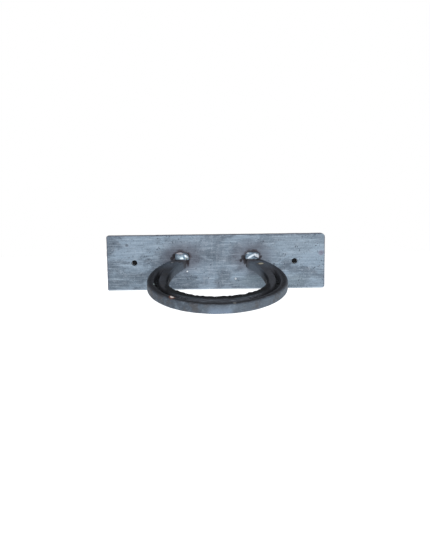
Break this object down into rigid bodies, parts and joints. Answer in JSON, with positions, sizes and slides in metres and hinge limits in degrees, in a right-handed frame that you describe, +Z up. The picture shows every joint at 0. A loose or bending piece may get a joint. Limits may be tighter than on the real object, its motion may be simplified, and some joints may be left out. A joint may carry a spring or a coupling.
{
  "type": "door knocker",
  "caption": "Fixed horseshoe knocker and pull: a fullered horseshoe welded by its heels to a flat steel backplate with screw holes.",
  "frame": {"origin": "centre of the backplate's back face, where it lies on the door", "axes": "+X right along the backplate as seen from the front, +Y into the door, +Z up; the shoe reaches out towards -Y"},
  "size_m": [0.2, 0.1289, 0.0508],
  "materials": {
    "plate_steel": "hot-rolled flat bar, wiped and scuffed along its length, blue-grey with darker clouds",
    "forged_steel": "forged mild steel with worn grey-black scale, paler on the outer rim",
    "weld_metal": "bright as-laid weld metal, rippled"
  },
  "bodies": {
    "root": {"backplate": "plate_steel", "horseshoe": "forged_steel", "weld_left": "weld_metal", "weld_right": "weld_metal", "weld_spatter": "weld_metal"}
  },
  "joints": []
}
